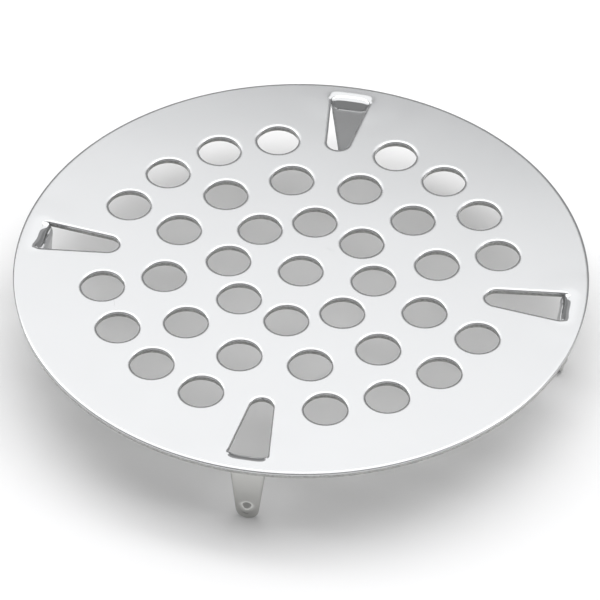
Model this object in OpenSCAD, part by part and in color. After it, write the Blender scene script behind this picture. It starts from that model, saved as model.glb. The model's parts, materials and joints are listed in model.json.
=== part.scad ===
// Snap-in floor drain strainer, pressed from one stainless sheet.
// A flat pierced plate drops on a drain's ledge, and four tabs cut from it are
// folded down as sprung legs whose dimples snap under the ledge.
// Millimetres, +Z up. The origin is under the middle of the plate, on the plane
// that the four leg tips stand on. A leg stands on each of +X, +Y, -X and -Y.

/* [Plate] */
// Diameter of the round plate
plate_d = 78; // [74:0.5:84]
// Thickness of the sheet
sheet_t = 0.9; // [0.7:0.05:1.1]

/* [Drain holes] */
// Diameter of every drain hole
hole_d = 5.75; // [3:0.25:6.5]
// Radius of the ring of holes next to the middle one
first_ring_r = 10; // [9.5:0.25:10.5]
// Step from one ring of holes to the next
ring_step = 8.5; // [8:0.25:8.75]
// Holes in the first ring, one in line with each leg
first_ring_holes = 8; // [4:4:8]
// Holes in the second ring, none in line with a leg
second_ring_holes = 12; // [4:8:12]
// Evenly spaced places in the third ring, of which the legs' four stay blank
third_ring_places = 20; // [8:4:20]

/* [Legs] */
// Plate left between the fold of a leg and the rim
rim_strip_w = 1.9; // [1.7:0.1:2.6]
// Width of a leg at its fold
leg_root_w = 5.6; // [4.6:0.1:6]
// Radius of the rounded end of a leg
leg_end_r = 1.55; // [1.4:0.05:1.8]
// Length of a leg before folding, from fold line to end
leg_cut_len = 11.75; // [10.5:0.25:12]
// Radius inside the fold, under the plate
fold_inner_r = 1; // [0.8:0.1:1.4]
// How far a leg leans outwards past upright, in degrees
leg_splay = 2.5; // [0:0.5:3]

/* [Snap dimples] */
// Diameter of the dimple near the end of each leg
dimple_d = 2.1; // [1.6:0.1:2.2]
// How far the dimple stands out of the leg
dimple_h = 0.55; // [0.3:0.05:0.6]
// Distance from the end of the leg to the middle of the dimple
dimple_from_end = 1.9; // [1.5:0.1:2.5]
// Depth of the punch mark behind the dimple
punch_depth = 0.45; // [0.2:0.05:0.5]
// Diameter of the punch mark behind the dimple
punch_d = 1.5; // [1.2:0.1:1.6]

/* [Hidden] */
$fn = 96;
leg_count = 4;
leg_pitch = 360 / leg_count;
// Side gap between a leg and the slot it is cut from
cut_gap = 0.05;
// Gap round the rounded root that a leg flexes about
root_gap = 0.02;
// Overlap that makes a cut pass clean through a face
cut_over = 1;
// The neutral fibre of a fold lies at this share of the thickness
neutral_share = 0.4;

plate_r = plate_d / 2;
fold_line_r = plate_r - rim_strip_w;
fold_outer_r = fold_inner_r + sheet_t;
fold_mid_r = fold_inner_r + sheet_t / 2;
fold_angle = 90 + leg_splay;

// Flat outline of a leg: straight sides that touch the round end
leg_half_root = leg_root_w / 2;
leg_end_centre = leg_cut_len - leg_end_r;
side_taper = taper_angle(leg_half_root, leg_end_centre, leg_end_r);

// The straight blade starts where the fold ends
fold_arc_len = (fold_inner_r + neutral_share * sheet_t) * fold_angle * PI / 180;
blade_len = leg_cut_len - fold_arc_len;
blade_half_w = leg_half_root - fold_arc_len * tan(side_taper);
blade_start_drop = fold_outer_r - fold_mid_r * cos(fold_angle);

// Height of the plate's top face over the plane under the leg tips
top_z = blade_start_drop + blade_len * cos(leg_splay) + sheet_t / 2 * sin(leg_splay);

// Angle between the middle line and a side that leaves half_w and touches the end circle
function taper_angle(half_w, centre, end_r) =
    acos(end_r / norm([half_w, centre])) - atan2(centre, half_w);

// Radius of the ball whose cap has this diameter and height
function cap_ball_r(cap_d, cap_h) = (pow(cap_d / 2, 2) + pow(cap_h, 2)) / (2 * cap_h);

// Tapered tongue with a round end, from its root at the origin along +X
module tongue(half_root, centre, end_r) {
    angle = taper_angle(half_root, centre, end_r);
    touch = [centre + end_r * sin(angle), end_r * cos(angle)];
    polygon([[0, -half_root], [touch.x, -touch.y], touch, [0, half_root]]);
    translate([centre, 0])
        circle(end_r);
}

// Puts what is drawn along +X at one leg's place round the plate
module at_leg(number) {
    rotate([0, 0, number * leg_pitch])
        children();
}

// Round rod along Y on the line that a leg flexes about
module root_rod(rod_r, half_len) {
    translate([fold_line_r, 0, top_z - sheet_t / 2])
        rotate([90, 0, 0])
            cylinder(r = rod_r, h = 2 * half_len, center = true);
}

// Evenly spaced drain holes on one ring, leaving out the places listed in blanks
module hole_ring(ring_r, count, first_angle, blanks = []) {
    for (place = [0 : count - 1])
        if (len(search(place, blanks)) == 0)
            rotate([0, 0, first_angle + place * 360 / count])
                translate([ring_r, 0, 0])
                    cylinder(d = hole_d, h = sheet_t + 2 * cut_over);
}

module drain_holes() {
    translate([0, 0, top_z - sheet_t - cut_over]) {
        cylinder(d = hole_d, h = sheet_t + 2 * cut_over);
        hole_ring(first_ring_r, first_ring_holes, 0);
        hole_ring(first_ring_r + ring_step, second_ring_holes, 180 / second_ring_holes);
        hole_ring(
            first_ring_r + 2 * ring_step,
            third_ring_places,
            0,
            [for (leg = [0 : leg_count - 1]) leg * third_ring_places / leg_count]
        );
    }
}

// The slot that a leg leaves in the plate, with the hollow that holds its rounded root
module leg_slot() {
    translate([fold_line_r, 0, top_z - sheet_t - cut_over])
        rotate([0, 0, 180])
            linear_extrude(sheet_t + 2 * cut_over)
                tongue(leg_half_root + cut_gap, leg_end_centre, leg_end_r + cut_gap);
    root_rod(sheet_t / 2 + root_gap, leg_half_root + cut_gap);
}

module strainer_plate() {
    color("gainsboro")
        difference() {
            translate([0, 0, top_z - sheet_t])
                cylinder(r = plate_r, h = sheet_t);
            drain_holes();
            for (leg = [0 : leg_count - 1])
                at_leg(leg)
                    leg_slot();
        }
}

// The quarter turn of sheet from the plate down into the blade, narrowing as it goes
module leg_fold() {
    intersection() {
        translate([fold_line_r, 0, top_z - fold_outer_r])
            rotate([90, 0, 0])
                rotate([0, 0, 90])
                    rotate_extrude(angle = fold_angle)
                        translate([fold_inner_r, -leg_half_root])
                            square([sheet_t, 2 * leg_half_root]);
        translate([fold_line_r, 0, 0])
            linear_extrude(top_z + cut_over)
                polygon([
                    [0, -leg_half_root],
                    [-fold_outer_r, -blade_half_w],
                    [-fold_outer_r, blade_half_w],
                    [0, leg_half_root]
                ]);
    }
}

// The straight blade, flat on its inner face, along +X with its outer face up
module flat_blade() {
    ball_r = cap_ball_r(dimple_d, dimple_h);
    punch_r = cap_ball_r(punch_d, punch_depth);
    difference() {
        union() {
            linear_extrude(sheet_t)
                tongue(blade_half_w, blade_len - leg_end_r, leg_end_r);
            intersection() {
                translate([blade_len - dimple_from_end, 0, sheet_t + dimple_h - ball_r])
                    sphere(ball_r);
                translate([blade_len - dimple_from_end, 0, sheet_t / 2])
                    cylinder(r = ball_r + cut_over, h = sheet_t / 2 + dimple_h + cut_over);
            }
        }
        translate([blade_len - dimple_from_end, 0, punch_depth - punch_r])
            sphere(punch_r);
    }
}

// One sprung leg on +X: rounded root, fold and blade with its dimple facing outwards
module leg() {
    root_rod(sheet_t / 2, leg_half_root);
    leg_fold();
    translate([fold_line_r, 0, top_z - fold_outer_r])
        rotate([0, -leg_splay, 0])
            translate([-fold_outer_r, 0, 0])
                rotate([0, 90, 0])
                    flat_blade();
}

module leg_right() {
    color("silver") at_leg(0) leg();
}

module leg_back() {
    color("silver") at_leg(1) leg();
}

module leg_left() {
    color("silver") at_leg(2) leg();
}

module leg_front() {
    color("silver") at_leg(3) leg();
}

strainer_plate();
leg_right();
leg_back();
leg_left();
leg_front();
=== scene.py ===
"""Looks of a snap-in floor drain strainer: one pressed stainless sheet, folded into a plate and four legs.

Lengths in this script are millimetres unless a name says otherwise, and MM turns them into metres.
"""

import json
import math

import bmesh
import bpy
from mathutils import Matrix, Vector, noise
from mathutils.geometry import delaunay_2d_cdt


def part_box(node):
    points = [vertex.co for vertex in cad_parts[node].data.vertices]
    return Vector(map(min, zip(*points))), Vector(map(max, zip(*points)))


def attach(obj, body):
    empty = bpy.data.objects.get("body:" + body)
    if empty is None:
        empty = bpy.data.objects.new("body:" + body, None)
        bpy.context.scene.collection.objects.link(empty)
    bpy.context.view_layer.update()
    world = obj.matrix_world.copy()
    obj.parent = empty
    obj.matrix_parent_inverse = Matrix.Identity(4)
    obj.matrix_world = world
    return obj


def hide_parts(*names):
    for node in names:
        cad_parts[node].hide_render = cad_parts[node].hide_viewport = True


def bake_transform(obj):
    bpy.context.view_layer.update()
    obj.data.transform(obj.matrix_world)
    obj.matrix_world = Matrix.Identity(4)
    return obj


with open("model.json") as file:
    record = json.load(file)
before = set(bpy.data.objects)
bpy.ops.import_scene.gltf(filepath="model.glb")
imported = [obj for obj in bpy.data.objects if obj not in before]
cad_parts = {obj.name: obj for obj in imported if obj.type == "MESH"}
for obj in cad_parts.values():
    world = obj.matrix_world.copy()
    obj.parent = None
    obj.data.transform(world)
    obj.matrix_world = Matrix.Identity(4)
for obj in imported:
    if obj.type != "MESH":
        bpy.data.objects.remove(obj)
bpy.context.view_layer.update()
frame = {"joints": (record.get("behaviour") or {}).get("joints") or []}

MM = 0.001

# ---------------------------------------------------------------- sizes from the frame
plate_lo, plate_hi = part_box("strainer_plate")
PLATE_R = min(plate_hi.x, plate_hi.y) / MM
TOP_Z = plate_hi.z / MM
SHEET_T = (plate_hi.z - plate_lo.z) / MM
FLEX = {j["child"]: j for j in frame["joints"]}
FOLD_LINE_R = FLEX["leg_right"]["pos_m"][0] / MM
HALF_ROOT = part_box("leg_right")[1].y / MM

# Drain holes: ring radius, places, first angle, blank places
HOLE_R = 2.875
HOLE_RINGS = (
    (0.0, 1, 0.0, ()),
    (10.0, 8, 0.0, ()),
    (18.5, 12, 15.0, ()),
    (27.0, 20, 0.0, (0, 5, 10, 15)),
)

# Legs, before folding
LEG_END_R = 1.55
LEG_CUT_LEN = 11.75
CUT_GAP = 0.05  # side gap between a leg and its slot
LEG_SPLAY = 2.5
DIMPLE_R = 1.25
DIMPLE_H = 0.52
DIMPLE_FROM_END = 1.9
PUNCH_R = 0.95
PUNCH_DEPTH = 0.45

# ---------------------------------------------------------------- pressed-metal detail
GUARD = 0.7  # margin of finer mesh beside every cut edge
ROLL_W, ROLL_H = 0.5, 0.14  # edge pulled down by the punch
FACET_W, FACET_H = 0.02, 0.03  # small facet between that edge and the wall
BURR_R = 0.02  # radius of the sharp edge on the die side
TEAR_BACK = 0.08  # how far the torn part of a cut edge stands back
TORN_FACE = 0.8  # share of that distance reached where the tearing begins
WALL_LEVELS = (0.28, 0.45, 0.72)  # shares of the thickness at the seam's points between the faces
NEUTRAL_SHARE = 0.4  # where the neutral fibre of a fold lies in the thickness
LEG_CLEAR = 0.32  # share of TEAR_BACK that a leg is longer by, so that its end meets the ground
TORN_JAG, WALL_JAG = 0.010, 0.05  # unevenness of the torn face, and of the wall in thicknesses
WAVE_H, WAVE_LEN, WAVE_FADE = 0.010, 13.0, 5.0  # the plate's slight waves, which fade near a fold

# Fineness of the mesh
EDGE_STEPS = 9  # round each edge of a cut
COLUMNS = 14  # across half a leg
RIM_STEPS, HOLE_STEPS = 480, 72
CORNER_STEPS = 10
SLOT_SIDE_STEPS, SLOT_END_STEPS = 18, 40
FOLD_STEPS, BLADE_STEPS, DIMPLE_STEPS, LEG_END_STEPS = 26, 16, 22, 56
FAN_STEPS = 16
DIMPLE_STRETCH = 1.7  # of finer mesh beside the dimple, up to the leg's round end
PLATE_GRID, FOLD_GRID = 1.3, 0.16  # spacing of the points inside the plate and beside a fold
FOLD_GRID_REACH = 2.6

# The bend starts in the plate, and the cut's two ends stand a little way into it
PULL_DROP = 0.187  # how far the middle of the fold line is pulled down
PULL_AHEAD, PULL_SIDE, PULL_BEHIND = 1.2, 0.9, 0.8  # how far round it the plate follows
EDGE_LIFT = 0.6  # share by which a fold's two ends are pulled down less
LIFT_LEN = 2.2  # how far down the leg that difference lasts
CORNER_R = 0.42  # rounding of the slot's corners at the fold
EDGE_GROWTH, GAP_GROWTH = 0.9, 0.8  # how far from its ends a cut takes to get its full edge and gap
PAST_CORNER = [0.55, 0.8, 1.05, 1.35]  # places along a slot after its corner, from fine to even
TIP_AHEAD = 0.7  # how far inside the fold line the cut's two ends stand
TIP_LINE_R = FOLD_LINE_R - TIP_AHEAD
FOLD_OUTER_R = 1.9  # outer radius of the plain quarter-turn fold, which places the blade

# The leg's own bend carries on from the slope at the cut's ends to square plus the splay
FOLD_START = math.atan(3 * PULL_DROP / PULL_AHEAD)
FOLD_END = math.radians(90 + LEG_SPLAY)
BLADE_FACE_R = FOLD_LINE_R - FOLD_OUTER_R * math.sin(FOLD_END)
FOLD_R = (TIP_LINE_R - BLADE_FACE_R) / (math.sin(FOLD_END) - math.sin(FOLD_START))
NEUTRAL_R = FOLD_R - SHEET_T * (1 - NEUTRAL_SHARE)
FOLD_LEN = NEUTRAL_R * (FOLD_END - FOLD_START)
FOLD_DROP = PULL_DROP + FOLD_R * (math.cos(FOLD_START) - math.cos(FOLD_END))
BLADE_LEN = (TOP_Z - FOLD_DROP) / math.sin(FOLD_END) + LEG_CLEAR * TEAR_BACK
LEG_LEN = FOLD_LEN + BLADE_LEN


def taper_angle(half_w, centre, end_r):
    """Angle between the middle line and a side that leaves half_w and touches the end circle."""
    return math.acos(end_r / math.hypot(half_w, centre)) - math.atan2(centre, half_w)


# ---------------------------------------------------------------- the sheet's surface
def leg_axes():
    """Unit vectors outwards and sideways for each leg's place."""
    found = {}
    for body, joint in FLEX.items():
        x, y = joint["pos_m"][0], joint["pos_m"][1]
        r = math.hypot(x, y)
        found[body] = ((x / r, y / r), (-y / r, x / r))
    return found


LEG_AXES = leg_axes()
TAPER = taper_angle(HALF_ROOT, LEG_CUT_LEN - LEG_END_R, LEG_END_R)
HALF_TIP_LINE = HALF_ROOT - (FOLD_LINE_R - TIP_LINE_R) * math.tan(TAPER)
HALF_TIP = HALF_TIP_LINE - CORNER_R


def corner(s):
    """How far the cut's side has turned in at s from its end."""
    if s >= CORNER_R:
        return 0.0
    return CORNER_R - math.sqrt(CORNER_R**2 - (CORNER_R - s) ** 2)


def end_lift(v):
    """How much less the fold line is pulled down at v from its middle, and how fast that changes."""
    t = min(abs(v) / HALF_TIP, 1.25)
    lift = PULL_DROP * EDGE_LIFT * t**4
    if t >= 1.25:
        return lift, 0.0
    return lift, math.copysign(4 * lift / HALF_TIP / max(t, 1e-9), v)


def from_fold(x, y):
    """Nearest fold's outward and sideways directions, and the point's place ahead of and along it."""
    out, side = max(LEG_AXES.values(), key=lambda a: x * a[0][0] + y * a[0][1])
    return out, side, x * out[0] + y * out[1] - TIP_LINE_R, x * side[0] + y * side[1]


def fold_gap(x, y):
    """Distance of a point of the plate from the nearest fold line."""
    _, _, u, v = from_fold(x, y)
    return math.hypot(u, max(0.0, abs(v) - HALF_TIP))


def pull(u, v):
    """Height of the plate beside a fold, with its slopes outwards and sideways."""
    past = max(0.0, abs(v) - HALF_TIP)
    reach = PULL_AHEAD if u >= 0 else PULL_BEHIND
    q = math.hypot(u / reach, past / PULL_SIDE)
    if q >= 1:
        return 0.0, 0.0, 0.0
    if past == 0:
        qu, qv = 1 / reach, 0.0
    else:
        qu, qv = u / reach**2 / q, past / PULL_SIDE**2 / q
    lift, rate = end_lift(max(-HALF_TIP, min(HALF_TIP, v)))
    depth, f = PULL_DROP - lift, 1 - q
    across = 3 * depth * f**2 * math.copysign(qv, v) + (rate * f**3 if past == 0 else 0.0)
    return -depth * f**3, 3 * depth * f**2 * qu, across


def wave(x, y, gap):
    """Slight unevenness of the pressed plate, none beside a fold."""
    ripple = noise.noise(Vector((x / WAVE_LEN, y / WAVE_LEN, 3.7))) - 1.0
    return WAVE_H * min(1.0, gap / WAVE_FADE) ** 3 * ripple


def plate_surface(x, y):
    """Height of the plate's top face over its true plane, and its normal."""
    out, side, u, v = from_fold(x, y)
    gap = fold_gap(x, y)
    z, du, dv = pull(u, v)
    e = 0.05
    gx = (wave(x + e, y, gap) - wave(x - e, y, gap)) / (2 * e) + out[0] * du + side[0] * dv
    gy = (wave(x, y + e, gap) - wave(x, y - e, gap)) / (2 * e) + out[1] * du + side[1] * dv
    return z + wave(x, y, gap), Vector((-gx, -gy, 1)).normalized()


def plate_point(x, y, h):
    """Point at height h from the top face, square to the pressed surface."""
    z, normal = plate_surface(x, y)
    return Vector((x, y, TOP_Z + z)) + normal * h


def leg_frame(s):
    """Middle of the leg's top face and its outward normal, s along the leg from the seam."""
    angle = min(FOLD_START + s / NEUTRAL_R, FOLD_END)
    cu = TIP_LINE_R + FOLD_R * math.sin(FOLD_START)
    cz = TOP_Z - PULL_DROP - FOLD_R * math.cos(FOLD_START)
    nu, nz = -math.sin(angle), math.cos(angle)
    u, z = cu + FOLD_R * nu, cz + FOLD_R * nz
    past = max(0.0, s - FOLD_LEN)
    return u - past * math.cos(angle), z - past * math.sin(angle), nu, nz


def dome(r, foot_r, height):
    """Height of a pressed dimple at r from its middle, faired into the sheet round it."""
    return height * (1 - (r / foot_r) ** 2) ** 2 if r < foot_r else 0.0


def leg_top(s, v):
    """Point (u, v, z) of the leg's top face, whose edges bend a little later than its middle."""
    u, z, nu, nz = leg_frame(s)
    lasting = max(0.0, 1 - s / LIFT_LEN) ** 2 * (1 + (3 / PULL_AHEAD + 2 / LIFT_LEN) * s)
    lift = end_lift(v)[0] * lasting
    return Vector((u + nu * lift, v, z + nz * lift))


def leg_point(s, v, h, out, side):
    """Point of a leg: s along it, v across it, h from its top face."""
    e = 0.01
    here = leg_top(s, v)
    normal = (leg_top(s, v + e) - leg_top(s, v - e)).cross(leg_top(s + e, v) - here)
    normal.normalize()
    if normal.z - normal.x < 0:
        normal = -normal
    r = math.hypot(s - (LEG_LEN - DIMPLE_FROM_END), v)
    share = -h / SHEET_T
    h -= (1 - share) * dome(r, PUNCH_R, PUNCH_DEPTH) + share * dome(r, DIMPLE_R, DIMPLE_H)
    u, v, z = here + normal * h
    return Vector((out[0] * u + side[0] * v, out[1] * u + side[1] * v, z))


# ---------------------------------------------------------------- cut-edge profiles
def rolled_edge(face, down):
    """Edge that the punch has pulled over, as (inset, height) points from the face onto the wall."""
    points = []
    for i in range(EDGE_STEPS):
        inset = ROLL_W * (1 - i / (EDGE_STEPS - 1)) ** 1.3
        points.append((max(inset, FACET_W), ROLL_H * (1 - inset / ROLL_W) ** 3))
    points.append((0.0, ROLL_H + FACET_H))
    if down:
        return [(inset, face - drop) for inset, drop in points]
    return [(inset, face + drop) for inset, drop in points][::-1]


def sharp_edge(face, down):
    """Barely rounded edge on the torn side of a cut."""
    points = []
    for i in range(EDGE_STEPS + 1):
        t = math.pi / 2 * i / EDGE_STEPS
        points.append((TEAR_BACK + BURR_R * (1 - math.sin(t)), BURR_R * (1 - math.cos(t))))
    if down:
        return [(inset, face - drop) for inset, drop in points]
    return [(inset, face + drop) for inset, drop in points][::-1]


def edge_profiles():
    """Seam, plate-edge and leg-edge profiles with the same number of (inset, height) points."""
    margin = (GUARD, (GUARD + ROLL_W) / 2)

    def build(top, middle, bottom):
        flat_top = [(inset, 0.0) for inset in margin]
        flat_bottom = [(inset, -SHEET_T) for inset in reversed(margin)]
        return flat_top + top + middle + bottom + flat_bottom

    flat_roll_top = [(p[0], 0.0) for p in rolled_edge(0.0, True)]
    flat_roll_bottom = [(p[0], -SHEET_T) for p in rolled_edge(-SHEET_T, False)]
    seam = build(flat_roll_top, [(0.0, -w * SHEET_T) for w in WALL_LEVELS], flat_roll_bottom)
    plate = build(
        rolled_edge(0.0, True),
        [(0.0, -0.28 * SHEET_T), (0.004, -0.42 * SHEET_T), (TEAR_BACK * TORN_FACE, -0.62 * SHEET_T)],
        sharp_edge(-SHEET_T, False),
    )
    leg = build(
        sharp_edge(0.0, True),
        [(TEAR_BACK * TORN_FACE, -0.38 * SHEET_T), (0.004, -0.58 * SHEET_T), (0.0, -0.72 * SHEET_T)],
        rolled_edge(-SHEET_T, False),
    )
    return seam, plate, leg


SEAM_EDGE, PLATE_EDGE, LEG_EDGE = edge_profiles()
# Points of a profile from its start to the wall, and on the wall
TOP_COUNT = 2 + EDGE_STEPS + 1
WALL_COUNT = len(WALL_LEVELS)


def mix_profile(a, b, share):
    """Edge profile part of the way from a to b."""
    return [(p[0] + (q[0] - p[0]) * share, p[1] + (q[1] - p[1]) * share) for p, q in zip(a, b)]


def smooth(t):
    """Soft step from 0 to 1."""
    t = min(1.0, max(0.0, t))
    return t * t * (3 - 2 * t)


# ---------------------------------------------------------------- mesh building
class Sheet:
    """Collects patches of faces, then welds corners that meet into one closed solid."""

    WELD = 0.0005

    def __init__(self):
        self.bm = bmesh.new()
        self.torn = self.bm.verts.layers.float.new("torn")
        self.worked = self.bm.verts.layers.float.new("worked")
        self.under = self.bm.verts.layers.float.new("under")

    def vert(self, point, torn=0.0, worked=0.0, under=0.0):
        v = self.bm.verts.new(point)
        v[self.torn], v[self.worked], v[self.under] = torn, worked, under
        return v

    def face(self, *corners):
        try:
            return self.bm.faces.new(corners)
        except ValueError:
            return None

    def strip(self, a, b):
        for i in range(len(a) - 1):
            self.face(a[i], a[i + 1], b[i + 1], b[i])

    def finish(self, name, material):
        bm = self.bm
        bmesh.ops.remove_doubles(bm, verts=bm.verts, dist=self.WELD)
        bmesh.ops.dissolve_degenerate(bm, edges=bm.edges, dist=self.WELD * 0.2)
        rim = [e for e in bm.edges if e.is_boundary]
        caps = bmesh.ops.edgeloop_fill(bm, edges=rim)["faces"] if rim else []
        bmesh.ops.recalc_face_normals(bm, faces=bm.faces)
        for f in bm.faces:
            f.smooth = True
        for f in caps:
            f.smooth = False
            for e in f.edges:
                e.smooth = False
        mesh = bpy.data.meshes.new(name)
        bmesh.ops.scale(bm, vec=(MM, MM, MM), verts=bm.verts)
        bm.to_mesh(mesh)
        bm.free()
        mesh.materials.append(material)
        obj = bpy.data.objects.new(name, mesh)
        bpy.context.scene.collection.objects.link(obj)
        return obj


def seam_columns():
    """Places across a leg at the seam, between the guards."""
    inner = HALF_TIP - GUARD
    return [inner * i / COLUMNS for i in range(-COLUMNS, COLUMNS + 1)]


def torn_share(index):
    """1 where a point of the plate's edge profile is torn rather than shaved, 0 elsewhere."""
    first = TOP_COUNT + 1
    last = TOP_COUNT + WALL_COUNT + EDGE_STEPS
    return 1.0 if first <= index <= last else 0.0


def rubbed(x, y):
    """How burnished the plate is by the tool that folds a leg."""
    return smooth(1.25 - fold_gap(x, y) / 1.6)


def wall_share(index):
    """1 on the cut wall, 0 on the faces."""
    return 1.0 if TOP_COUNT - 3 <= index <= TOP_COUNT + WALL_COUNT + EDGE_STEPS else 0.0


def circle_path(cx, cy, radius, steps, into_outside):
    """Points of a cut circle, each with the direction into the metal and its share of the full edge."""
    path = []
    for i in range(steps):
        a = 2 * math.pi * i / steps
        c, s = math.cos(a), math.sin(a)
        into = (c, s) if into_outside else (-c, -s)
        path.append(((cx + radius * c, cy + radius * s), into, 1.0))
    return path


def corner_places():
    """Distances from the end of a cut, spaced round its rounded corner."""
    quarter = math.pi / 2 / CORNER_STEPS
    return [CORNER_R * (1 - math.cos(quarter * i)) for i in range(CORNER_STEPS + 1)]


def slot_path(out, side):
    """The open cut round a leg, from one crack tip to the other, in plate coordinates."""
    centre = LEG_CUT_LEN - LEG_END_R - (FOLD_LINE_R - TIP_LINE_R)
    touch = centre + LEG_END_R * math.sin(TAPER)
    even_from = PAST_CORNER[-1]
    even_len = touch - even_from
    even = [even_from + even_len * i / SLOT_SIDE_STEPS for i in range(1, SLOT_SIDE_STEPS + 1)]
    along = corner_places() + PAST_CORNER + even

    def edge(s):
        return HALF_TIP_LINE - s * math.tan(TAPER) - corner(s)

    half = []
    for s in along:
        lean = math.atan2(edge(s) - edge(s + 0.0001), 0.0001)
        into = (math.sin(lean), math.cos(lean))
        gap = CUT_GAP * smooth(s / GAP_GROWTH)
        half.append(((s + into[0] * gap, edge(s) + into[1] * gap), into, smooth(s / EDGE_GROWTH)))
    arc = []
    start = math.pi / 2 - TAPER
    for i in range(1, SLOT_END_STEPS):
        a = start - 2 * start * i / SLOT_END_STEPS
        into = (math.cos(a), math.sin(a))
        r = LEG_END_R + CUT_GAP
        arc.append(((centre + r * into[0], r * into[1]), into, 1.0))
    mirrored = [((p[0], -p[1]), (n[0], -n[1]), k) for p, n, k in reversed(half)]
    path = []
    for (s, v), (ns, nv), k in half + arc + mirrored:
        u = TIP_LINE_R - s
        place = (out[0] * u + side[0] * v, out[1] * u + side[1] * v)
        into = (-out[0] * ns + side[0] * nv, -out[1] * ns + side[1] * nv)
        path.append((place, into, k))
    return path


def cut_edge(sheet, path, profile, closed):
    """Sweeps an edge profile along a cut. Returns the guard line on the plate as flat points."""
    rows = []
    for place, into, k in path:
        shape = mix_profile(SEAM_EDGE, profile, k)
        jag = noise.noise(Vector((place[0] * 1.9, place[1] * 1.9, 8.1)))
        row = []
        for i, (inset, h) in enumerate(shape):
            wall = torn_share(i) * k
            if TOP_COUNT <= i < TOP_COUNT + WALL_COUNT:
                h += WALL_JAG * SHEET_T * jag * k
            inset += TORN_JAG * wall * (1 + jag)
            x, y = place[0] + into[0] * inset, place[1] + into[1] * inset
            worked = max(wall_share(i) * k, rubbed(x, y))
            row.append(sheet.vert(plate_point(x, y, h), wall, worked, -h / SHEET_T))
        rows.append(row)
    for a, b in zip(rows, rows[1:] + rows[:1] if closed else rows[1:]):
        sheet.strip(a, b)
    return [(place[0] + into[0] * GUARD, place[1] + into[1] * GUARD) for place, into, _ in path]


def crack_tip_fan(sheet, tip, start_into, end_into):
    """Flat metal round the end of a cut, between the cut's side and the seam. Returns its guard line."""
    a0 = math.atan2(start_into[1], start_into[0])
    a1 = math.atan2(end_into[1], end_into[0])
    turn = turn_outwards(tip, a0, a1)
    guard = []
    for level, insets in (
        (0.0, [p[0] for p in SEAM_EDGE[:TOP_COUNT]]),
        (-SHEET_T, [p[0] for p in SEAM_EDGE[TOP_COUNT + WALL_COUNT :]]),
    ):
        rows = []
        for i in range(FAN_STEPS + 1):
            a = a0 + turn * i / FAN_STEPS
            c, s = math.cos(a), math.sin(a)
            row = []
            for d in insets:
                x, y = tip[0] + c * d, tip[1] + s * d
                row.append(sheet.vert(plate_point(x, y, level), 0.0, rubbed(x, y), -level / SHEET_T))
            rows.append(row)
            if level == 0.0:
                guard.append((tip[0] + c * GUARD, tip[1] + s * GUARD))
        for a, b in zip(rows, rows[1:]):
            sheet.strip(a, b)
    return guard


def turn_outwards(tip, a0, a1):
    """The turn from a0 to a1 that passes through the direction away from the plate's middle."""
    outward = math.atan2(tip[1], tip[0])

    def wrap(angle):
        return (angle + math.pi) % (2 * math.pi) - math.pi

    return wrap(outward - a0) + wrap(a1 - outward)


def inside(point, loop):
    """Whether a flat point lies inside a closed loop."""
    x, y = point
    hit = False
    for (x0, y0), (x1, y1) in zip(loop, loop[1:] + loop[:1]):
        if (y0 > y) != (y1 > y) and x < x0 + (y - y0) * (x1 - x0) / (y1 - y0):
            hit = not hit
    return hit


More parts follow.
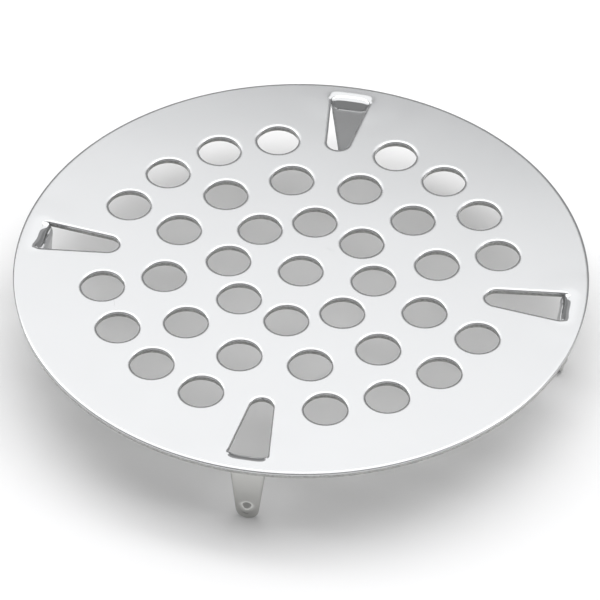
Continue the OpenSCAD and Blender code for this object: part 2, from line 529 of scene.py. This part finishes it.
def build_plate(material):
    """The pierced plate, as one closed solid that ends at the four seams."""
    sheet = Sheet()
    loops = []

    rim = circle_path(0, 0, PLATE_R, RIM_STEPS, False)
    outer = cut_edge(sheet, rim, PLATE_EDGE, True)

    circles = []
    for ring_r, places, first, blanks in HOLE_RINGS:
        for place in range(places):
            if place in blanks:
                continue
            a = math.radians(first + 360 * place / places)
            centre = (ring_r * math.cos(a), ring_r * math.sin(a))
            path = circle_path(centre[0], centre[1], HOLE_R, HOLE_STEPS, True)
            loops.append(cut_edge(sheet, path, PLATE_EDGE, True))
            circles.append(centre)

    slots = []
    for out, side in LEG_AXES.values():
        path = slot_path(out, side)
        guard = cut_edge(sheet, path, PLATE_EDGE, False)
        tip_a, into_a, _ = path[0]
        tip_b, into_b, _ = path[-1]
        fan_a = crack_tip_fan(sheet, tip_a, into_a, (-side[0], -side[1]))
        fan_b = crack_tip_fan(sheet, tip_b, into_b, side)
        root = (out[0] * TIP_LINE_R, out[1] * TIP_LINE_R)
        seam = [(root[0] + side[0] * v, root[1] + side[1] * v) for v in seam_columns()]
        loop = guard + fan_b[1:] + seam[1:-1] + fan_a[::-1][:-1]
        loops.append(loop)
        slots.append(loop)

    points = [Vector(p) for p in outer]
    edges = [(i, (i + 1) % len(outer)) for i in range(len(outer))]
    for loop in loops:
        base = len(points)
        points += [Vector(p) for p in loop]
        edges += [(base + i, base + (i + 1) % len(loop)) for i in range(len(loop))]

    def free(x, y, gap):
        """Whether a point is clear of the margins of the rim, the holes and the slots."""
        if math.hypot(x, y) > PLATE_R - GUARD - gap:
            return False
        if any(math.hypot(x - c[0], y - c[1]) < HOLE_R + GUARD + gap for c in circles):
            return False
        for out, side in LEG_AXES.values():
            u, v = x * out[0] + y * out[1], abs(x * side[0] + y * side[1])
            end_u = FOLD_LINE_R - LEG_CUT_LEN
            if u > end_u - GUARD - gap and u < TIP_LINE_R + gap:
                if v < HALF_ROOT + GUARD + gap:
                    return False
        return True

    step = PLATE_GRID
    count = int(2 * PLATE_R / step) + 2
    for row in range(-count, count):
        for col in range(-count, count):
            x = step * (col + 0.5 * (row % 2))
            y = step * row * math.sqrt(3) / 2
            far = fold_gap(x, y) > FOLD_GRID_REACH
            if math.hypot(x, y) < PLATE_R and far and free(x, y, 0.45):
                points.append(Vector((x, y)))
    step = FOLD_GRID
    for out, side in LEG_AXES.values():
        for i in range(-34, 35):
            for j in range(-17, 17):
                v = step * (i + 0.5 * (j % 2)) + 0.03
                u = TIP_LINE_R + step * j + 0.05
                x, y = out[0] * u + side[0] * v, out[1] * u + side[1] * v
                near = fold_gap(x, y)
                clear = u - TIP_LINE_R > 0.1 or abs(v) > HALF_ROOT + GUARD + 0.15
                tip = math.hypot(u - TIP_LINE_R, abs(v) - HALF_TIP) > GUARD + 0.1
                bend = math.hypot(u - TIP_LINE_R + CORNER_R, abs(v) - HALF_TIP)
                tip = tip and (abs(v) < HALF_TIP or bend > CORNER_R + GUARD + 0.15)
                in_rim = math.hypot(x, y) < PLATE_R - GUARD - 0.1
                if clear and tip and near < FOLD_GRID_REACH and in_rim:
                    points.append(Vector((x, y)))

    flat, _, triangles, _, _, _ = delaunay_2d_cdt(points, edges, [], 0, 1e-6)
    chord_r = (HOLE_R + GUARD) * math.cos(math.pi / HOLE_STEPS)
    tops = [sheet.vert(plate_point(p.x, p.y, 0.0), 0.0, rubbed(p.x, p.y)) for p in flat]
    bottoms = [sheet.vert(plate_point(p.x, p.y, -SHEET_T), 0.0, 0.0, 1.0) for p in flat]
    for tri in triangles:
        cx = sum(flat[i].x for i in tri) / 3
        cy = sum(flat[i].y for i in tri) / 3
        if not inside((cx, cy), outer):
            continue
        if any(math.hypot(cx - c[0], cy - c[1]) < chord_r for c in circles):
            continue
        if any(inside((cx, cy), loop) for loop in slots):
            continue
        a, b, c = tri
        sheet.face(tops[a], tops[b], tops[c])
        sheet.face(bottoms[c], bottoms[b], bottoms[a])
    for v in tops + bottoms:
        if not v.link_faces:
            sheet.bm.verts.remove(v)

    return sheet.finish("plate_sheet", material)


def leg_stations():
    """Spine points and rays of the leg's cross-sections, from one end of the seam round to the other."""
    centre = LEG_LEN - LEG_END_R
    taper = taper_angle(HALF_TIP_LINE, centre, LEG_END_R)
    dense_from = centre - DIMPLE_STRETCH
    stretches = (
        (CORNER_R, FOLD_LEN, FOLD_STEPS),
        (FOLD_LEN, dense_from, BLADE_STEPS),
        (dense_from, centre, DIMPLE_STEPS),
    )
    places = corner_places()
    for start, end, steps in stretches:
        places += [start + (end - start) * i / steps for i in range(1, steps + 1)]
    straight = []
    for s in places:
        straight.append((s, HALF_TIP_LINE - s * math.tan(taper) - corner(s)))
    rays = []
    for s, reach in straight:
        rays.append((s, (0.0, 1.0), reach, smooth(s / EDGE_GROWTH)))
    for i in range(1, LEG_END_STEPS):
        a = math.pi / 2 - math.pi * i / LEG_END_STEPS
        touch = math.pi / 2 - taper
        reach = LEG_END_R
        if abs(a) > touch:
            reach = LEG_END_R / math.cos(abs(a) - touch)
        rays.append((centre, (math.cos(a), math.sin(a)), reach, 1.0))
    for s, reach in reversed(straight):
        rays.append((s, (0.0, -1.0), reach, smooth(s / EDGE_GROWTH)))
    return rays


def build_leg(name, out, side, material):
    """One leg from its seam to its round end, as a closed solid of cross-sections."""
    sheet = Sheet()
    rows = []
    for s, ray, reach, k in leg_stations():
        shape = mix_profile(SEAM_EDGE, LEG_EDGE, k)
        inner = reach - GUARD
        fold_work = 0.35 + 0.65 * smooth((FOLD_LEN + 2.2 - s) / 1.6)
        cells = []
        for i in range(COLUMNS):
            cells.append((inner * i / COLUMNS, 0.0, 0.0, 0.0))
        for i, (inset, h) in enumerate(shape):
            mirror = len(shape) - 1 - i
            cells.append((reach - inset, h, torn_share(mirror) * k, wall_share(mirror) * k))
        for i in range(COLUMNS - 1, -1, -1):
            cells.append((inner * i / COLUMNS, -SHEET_T, 0.0, 0.0))
        row = []
        for d, h, torn, wall in cells:
            p = leg_point(s + ray[0] * d, ray[1] * d, h, out, side)
            row.append(sheet.vert(p, torn, max(wall, fold_work), -h / SHEET_T))
        rows.append(row)
    for a, b in zip(rows, rows[1:]):
        sheet.strip(a, b)
    return sheet.finish(name, material)


# ---------------------------------------------------------------- material
class Nodes:
    """Short helpers for a node tree."""

    def __init__(self, material):
        material.use_nodes = True
        self.tree = material.node_tree
        self.tree.nodes.clear()

    def add(self, kind, **values):
        node = self.tree.nodes.new(kind)
        for key, value in values.items():
            setattr(node, key, value)
        return node

    def link(self, a, b):
        self.tree.links.new(a, b)

    def put(self, socket, value):
        if isinstance(value, bpy.types.NodeSocket):
            self.link(value, socket)
        else:
            socket.default_value = value

    def math(self, operation, a, b=0.0, clamp=False):
        node = self.add("ShaderNodeMath", operation=operation, use_clamp=clamp)
        for socket, value in zip(node.inputs, (a, b)):
            self.put(socket, value)
        return node.outputs[0]

    def noise(self, vector, scale, detail, roughness):
        node = self.add("ShaderNodeTexNoise")
        self.link(vector, node.inputs["Vector"])
        node.inputs["Scale"].default_value = scale
        node.inputs["Detail"].default_value = detail
        node.inputs["Roughness"].default_value = roughness
        return node.outputs["Fac"]

    def ramp(self, value, low, high, to_low=0.0, to_high=1.0):
        node = self.add("ShaderNodeMapRange", interpolation_type="SMOOTHSTEP")
        self.put(node.inputs["Value"], value)
        for key, number in (
            ("From Min", low),
            ("From Max", high),
            ("To Min", to_low),
            ("To Max", to_high),
        ):
            self.put(node.inputs[key], number)
        return node.outputs["Result"]

    def attribute(self, name):
        node = self.add("ShaderNodeAttribute", attribute_name=name)
        return node.outputs["Fac"]


# Hairline scratches on the plate's top: start x, y, end x, y, width
HAIRLINES = (
    (-19.6, 6.2, -17.2, 4.4, 0.035),
    (-3.4, -0.9, -1.9, -1.6, 0.03),
    (2.2, 5.2, 3.9, 4.5, 0.03),
    (14.2, -12.8, 15.6, -9.9, 0.03),
    (-24.1, -8.6, -23.1, -12.2, 0.03),
    (6.8, -22.5, 9.4, -23.4, 0.03),
)


def hairline(n, x, y, line):
    """Mask of one straight scratch, 1 on its middle line."""
    x0, y0, x1, y1, width = line
    length = math.hypot(x1 - x0, y1 - y0)
    dx, dy = (x1 - x0) / length, (y1 - y0) / length
    px, py = n.math("SUBTRACT", x, x0), n.math("SUBTRACT", y, y0)
    along = n.math("ADD", n.math("MULTIPLY", px, dx), n.math("MULTIPLY", py, dy))
    across = n.math("SUBTRACT", n.math("MULTIPLY", px, dy), n.math("MULTIPLY", py, dx))
    ends = n.math("SUBTRACT", n.math("ABSOLUTE", n.math("SUBTRACT", along, length / 2)), length / 2)
    body = n.ramp(n.math("ABSOLUTE", across), 0.0, width, 1.0, 0.0)
    return n.math("MULTIPLY", body, n.ramp(ends, -0.4, 0.0, 1.0, 0.0))


STEEL_TONE, STEEL_ROUGHNESS = 0.600, 0.16
CLOUD_TONE, CLOUD_ROUGHNESS = 0.03, 0.05  # how far the slow noise moves each
GRAIN_TONE, FINE_ROUGHNESS = 0.03, 0.05
TORN_COVER = 0.9  # share of the steel's own tone that tearing hides
GRAIN_HEIGHT, FINE_HEIGHT, TEAR_HEIGHT, MARK_DEPTH = 0.0006, 0.0002, 0.03, 0.002


def stainless():
    """Mill-finished stainless sheet: fine grain, faint scratches, burnished folds, torn cut edges."""
    material = bpy.data.materials.new("stainless_sheet")
    n = Nodes(material)
    place = n.add("ShaderNodeTexCoord").outputs["Object"]
    scaled = n.add("ShaderNodeVectorMath", operation="SCALE")
    n.link(place, scaled.inputs[0])
    scaled.inputs["Scale"].default_value = 1 / MM
    mm = scaled.outputs[0]
    split = n.add("ShaderNodeSeparateXYZ")
    n.link(mm, split.inputs[0])
    x, y = split.outputs["X"], split.outputs["Y"]

    torn = n.attribute("torn")
    worked = n.attribute("worked")
    under = n.attribute("under")

    grain = n.noise(mm, 5.5, 3.0, 0.6)
    fine = n.noise(mm, 16.0, 2.0, 0.55)
    cloud = n.noise(mm, 0.16, 3.0, 0.5)
    tears = n.noise(mm, 3.2, 4.0, 0.7)

    marks = None
    for line in HAIRLINES:
        mask = hairline(n, x, y, line)
        marks = mask if marks is None else n.math("MAXIMUM", marks, mask)

    shader = n.add("ShaderNodeBsdfPrincipled")
    shader.inputs["Metallic"].default_value = 1.0

    # Colour: pale steel, darker in the torn part of a cut edge; the underside has painted shade, darker
    # and warmer, and the top a painted cool tint
    tone = n.math("ADD", STEEL_TONE, n.math("MULTIPLY", n.math("SUBTRACT", cloud, 0.5), CLOUD_TONE))
    tone = n.math("ADD", tone, n.math("MULTIPLY", n.math("SUBTRACT", grain, 0.5), GRAIN_TONE))
    tear_tone = n.ramp(tears, 0.35, 0.65, 0.34, 0.54)
    keep = n.math("SUBTRACT", 1.0, n.math("MULTIPLY", torn, TORN_COVER))
    tear_share = n.math("MULTIPLY", tear_tone, n.math("MULTIPLY", torn, TORN_COVER))
    tone = n.math("ADD", n.math("MULTIPLY", tone, keep), tear_share)
    tone = n.math("SUBTRACT", tone, n.math("MULTIPLY", marks, 0.10))
    # painted shade: the sheet's underside is painted darker
    tone = n.math("SUBTRACT", tone, n.math("MULTIPLY", under, 0.06))
    colour = n.add("ShaderNodeCombineColor")
    # painted tint: the top is painted a little cool and the underside warmer, for the light each side
    # catches
    red_share = n.ramp(under, 0.0, 1.0, 0.990, 1.0)
    blue_share = n.ramp(under, 0.0, 1.0, 1.015, 0.970)
    n.link(n.math("MULTIPLY", tone, red_share), colour.inputs[0])
    n.link(tone, colour.inputs[1])
    n.link(n.math("MULTIPLY", tone, blue_share), colour.inputs[2])
    n.link(colour.outputs[0], shader.inputs["Base Color"])

    rough = n.math("MULTIPLY", n.math("SUBTRACT", cloud, 0.5), CLOUD_ROUGHNESS)
    rough = n.math("ADD", STEEL_ROUGHNESS, rough)
    rough = n.math("ADD", rough, n.math("MULTIPLY", n.math("SUBTRACT", fine, 0.5), FINE_ROUGHNESS))
    rough = n.math("SUBTRACT", rough, n.math("MULTIPLY", worked, 0.12))
    rough = n.math("ADD", rough, n.math("MULTIPLY", under, 0.10))
    rough = n.math("ADD", rough, n.math("MULTIPLY", torn, 0.28))
    rough = n.math("ADD", rough, n.math("MULTIPLY", marks, 0.12), clamp=True)
    n.link(rough, shader.inputs["Roughness"])

    height = n.math("MULTIPLY", grain, GRAIN_HEIGHT)
    height = n.math("ADD", height, n.math("MULTIPLY", fine, FINE_HEIGHT))
    height = n.math("ADD", height, n.math("MULTIPLY", n.math("MULTIPLY", tears, torn), TEAR_HEIGHT))
    height = n.math("SUBTRACT", height, n.math("MULTIPLY", marks, MARK_DEPTH))
    bump = n.add("ShaderNodeBump")
    bump.inputs["Strength"].default_value = 1.0
    bump.inputs["Distance"].default_value = MM
    n.link(height, bump.inputs["Height"])
    n.link(bump.outputs[0], shader.inputs["Normal"])

    output = n.add("ShaderNodeOutputMaterial")
    n.link(shader.outputs[0], output.inputs["Surface"])
    return material


# ---------------------------------------------------------------- shading across the seams
def smooth_seams(obj, normal_at):
    """Gives the seam's corners the sheet's own normal, so that no line shows where two pieces meet."""
    mesh = obj.data
    normals = [Vector((0, 0, 0)) for _ in mesh.loops]
    caps = {e.index for e in mesh.edges if e.use_edge_sharp}
    rim = {v for e in mesh.edges if e.index in caps for v in e.vertices}
    for poly in mesh.polygons:
        if not poly.use_smooth:
            continue
        for i in poly.loop_indices:
            v = mesh.loops[i].vertex_index
            if v in rim:
                normals[i] = normal_at(mesh.vertices[v].co, poly.normal)
    mesh.normals_split_custom_set(normals)


def seam_normal(co, face_normal):
    """The sheet's normal at a seam corner, on the face's own side."""
    if abs(face_normal.z) < 0.5:
        return Vector((0, 0, 0))
    out, side, _, v = from_fold(co.x / MM, co.y / MM)
    v = max(-HALF_TIP, min(HALF_TIP, v))
    _, du, dv = pull(0.0, v)
    slopes = (out[0] * du + side[0] * dv, out[1] * du + side[1] * dv)
    n = Vector((-slopes[0], -slopes[1], 1)).normalized()
    return n if face_normal.z > 0 else -n


steel = stainless()
plate = build_plate(steel)
smooth_seams(plate, seam_normal)
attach(plate, "plate")
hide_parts("strainer_plate")

for body, (out, side) in LEG_AXES.items():
    word = body.split("_")[1]
    leg = build_leg(f"{word}_leg_sheet", out, side, steel)
    smooth_seams(leg, seam_normal)
    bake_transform(leg)
    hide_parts(body)


# ---------------------------------------------------------------- camera
AIM = Vector((1.010, -5.882, TOP_Z)) * MM
CAMERA_AZIMUTH = math.radians(10.835)
CAMERA_ELEVATION = math.radians(43.0)
CAMERA_ROLL = math.radians(0.491)
CAMERA_DISTANCE = 645.29 * MM
CAMERA_LENS_MM = 287.9


def make_camera():
    """Long lens above the front and a little to the right."""
    a, e = CAMERA_AZIMUTH, CAMERA_ELEVATION
    back = Vector((math.sin(a) * math.cos(e), -math.cos(a) * math.cos(e), math.sin(e)))
    level = Vector((math.cos(a), math.sin(a), 0))
    upright = back.cross(level)
    right = level * math.cos(CAMERA_ROLL) + upright * math.sin(CAMERA_ROLL)
    up = back.cross(right)
    data = bpy.data.cameras.new("camera")
    data.lens = CAMERA_LENS_MM
    data.sensor_width = 36
    data.clip_start, data.clip_end = 0.02, 20
    camera = bpy.data.objects.new("camera", data)
    bpy.context.scene.collection.objects.link(camera)
    turn = Matrix((right, up, back)).transposed()
    camera.matrix_world = Matrix.Translation(AIM + back * CAMERA_DISTANCE) @ turn.to_4x4()
    bpy.context.scene.camera = camera


make_camera()


# ---------------------------------------------------------------- studio
# Panels of soft light, in metres: middle, what it faces, width, depth, radiance, mirrored by the metal.
# The panels that face straight down are turned by SOFTBOX_TURN.
SOFTBOX_Z = 0.60
SOFTBOX_TURN = math.radians(-5.5)
PANELS = {
    "softbox": ((0, 0.26, SOFTBOX_Z), (0, 0.26, 0), 1.9, 0.86, 1.18, True),
    "softbox_skirt": ((0, 0.85, SOFTBOX_Z), (0, 0.85, 0), 1.9, 0.32, 0.16, True),
    "softbox_core": ((0, 0.25, SOFTBOX_Z - 0.005), (0, 0.25, 0), 1.9, 0.20, 1.65, True),
    "overhead_fill": ((0, -0.3, 1.0), (0, 0, 0), 1.0, 1.0, 0.76, False),
    "front_fill": ((0, -0.8, 0.15), (0, 0, 0), 0.3, 0.3, 0.65, False),
}
AMBIENT = 0.33
FLOOR_TONE = 0.87
FLOOR_HALF = 3.0  # metres from the middle of the floor to its sides


def make_floor():
    """Pale paper floor, clear when seen from below."""
    mesh = bpy.data.meshes.new("floor")
    corners = [(FLOOR_HALF * x, FLOOR_HALF * y, 0) for x, y in ((-1, -1), (1, -1), (1, 1), (-1, 1))]
    mesh.from_pydata(corners, [], [(0, 1, 2, 3)])
    floor = bpy.data.objects.new("floor", mesh)
    bpy.context.scene.collection.objects.link(floor)
    material = bpy.data.materials.new("floor_paper")
    n = Nodes(material)
    paper = n.add("ShaderNodeBsdfDiffuse")
    paper.inputs["Color"].default_value = (FLOOR_TONE, FLOOR_TONE, FLOOR_TONE * 1.005, 1)
    clear = n.add("ShaderNodeBsdfTransparent")
    behind = n.add("ShaderNodeNewGeometry").outputs["Backfacing"]
    mix = n.add("ShaderNodeMixShader")
    n.link(behind, mix.inputs[0])
    n.link(paper.outputs[0], mix.inputs[1])
    n.link(clear.outputs[0], mix.inputs[2])
    output = n.add("ShaderNodeOutputMaterial")
    n.link(mix.outputs[0], output.inputs["Surface"])
    mesh.materials.append(material)


def make_panels():
    """Area lights of a given radiance, which the camera doesn't see."""
    for name, (middle, faces, width, depth, radiance, in_metal) in PANELS.items():
        data = bpy.data.lights.new(name, "AREA")
        data.shape = "RECTANGLE"
        data.size, data.size_y = width, depth
        data.energy = radiance * math.pi * width * depth
        light = bpy.data.objects.new(name, data)
        towards = Vector(faces) - Vector(middle)
        light.rotation_mode = "QUATERNION"
        if towards.xy.length > 1e-6:
            light.rotation_quaternion = towards.to_track_quat("-Z", "Y")
        else:
            light.rotation_quaternion = Matrix.Rotation(SOFTBOX_TURN, 3, "Z").to_quaternion()
        light.location = middle
        light.visible_camera = False
        light.visible_glossy = in_metal
        bpy.context.scene.collection.objects.link(light)


def make_world():
    """Even grey surroundings."""
    world = bpy.data.worlds.new("studio")
    bpy.context.scene.world = world
    world.use_nodes = True
    background = world.node_tree.nodes["Background"]
    background.inputs["Color"].default_value = (AMBIENT, AMBIENT, AMBIENT, 1)
    background.inputs["Strength"].default_value = 1.0


make_floor()
make_panels()
make_world()
bpy.context.scene.view_settings.view_transform = "Standard"
